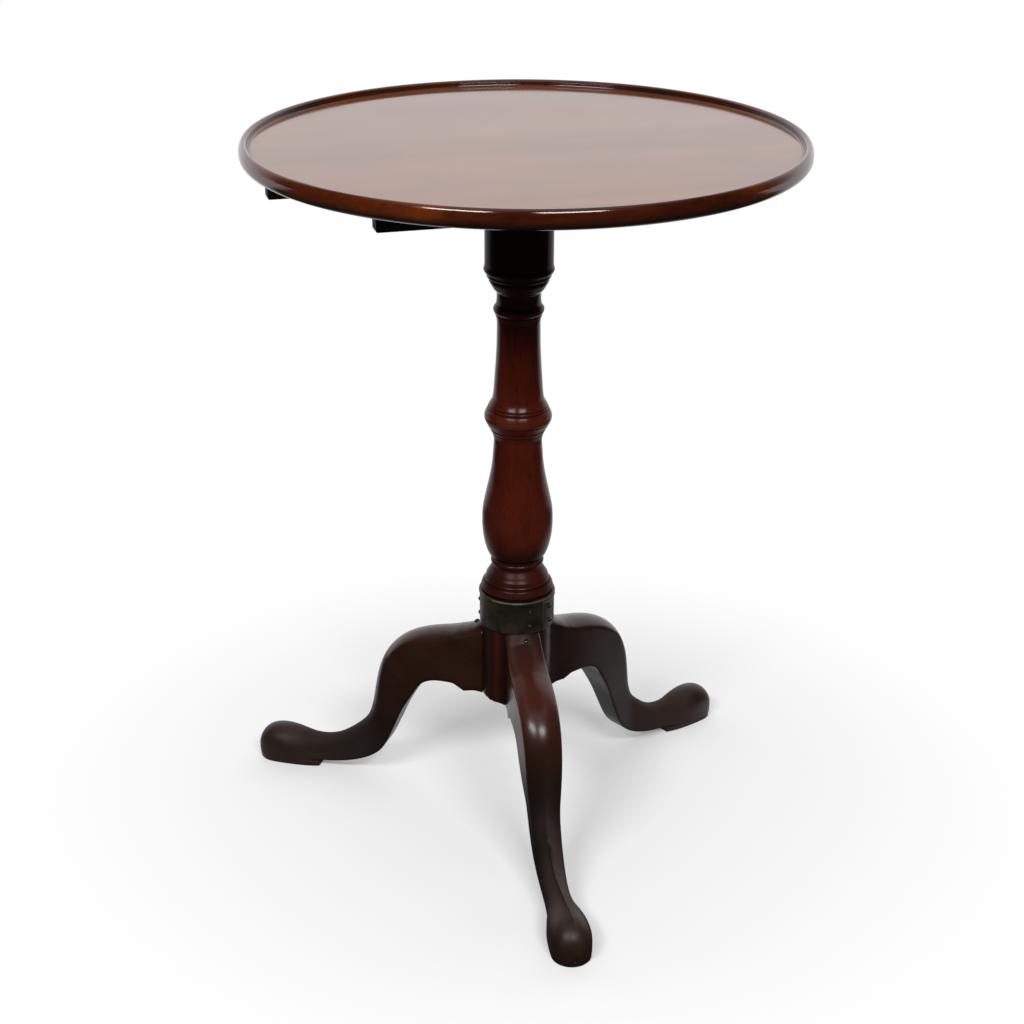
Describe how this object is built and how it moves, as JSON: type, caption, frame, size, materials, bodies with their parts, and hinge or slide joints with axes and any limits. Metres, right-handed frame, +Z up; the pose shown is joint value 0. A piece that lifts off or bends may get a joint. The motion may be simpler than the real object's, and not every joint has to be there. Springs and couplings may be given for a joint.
{
  "type": "tilt-top wine table",
  "caption": "Round tilt-top wine table: dished wooden top on bearers, turned pillar, cabriole legs with pad feet and an iron collar.",
  "frame": {"origin": "on the floor, under the middle of the object's bounding box", "axes": "+Z up out of the table top; the bearers run along X, and the tilt axis is parallel to Y; one foot points towards -Y"},
  "size_m": [0.5209, 0.5507, 0.71],
  "materials": {
    "mahogany_top": "waxed and polished, worn",
    "mahogany_base": "dark polished",
    "bearer_wood": "old oiled",
    "dark_iron": "dark wrought, slightly rubbed",
    "dark_steel": "aged",
    "brass": "tarnished"
  },
  "bodies": {
    "base": {"pillar": "mahogany_base", "leg_front": "mahogany_base", "leg_right": "mahogany_base", "leg_left": "mahogany_base", "iron_collar": "dark_iron", "collar_nails": "dark_iron", "leg_nails": "dark_iron", "pivot_block": "bearer_wood", "pivot_pin_far": "bearer_wood", "pivot_pin_near": "bearer_wood", "tenon_wedge": "bearer_wood", "bolt_keeper": "brass", "keeper_screws": "brass"},
    "top": {"table_top": "mahogany_top", "bearer_far": "bearer_wood", "bearer_near": "bearer_wood", "bearer_screws": "dark_steel", "bolt_plate": "brass", "bolt_plate_screws": "brass"},
    "bolt": {"sliding_bolt": "brass", "bolt_knob": "brass"}
  },
  "joints": [
    {"name": "top_tilt", "type": "hinge", "parent": "base", "child": "top", "pos_m": [-0.0613, 0.01644, 0.6715], "axis": [0, -1, 0], "range_deg": [0, 90]},
    {"name": "bolt_slide", "type": "slide", "parent": "top", "child": "bolt", "axis": [-1, 0, 0], "range_m": [0, 0.012]}
  ]
}
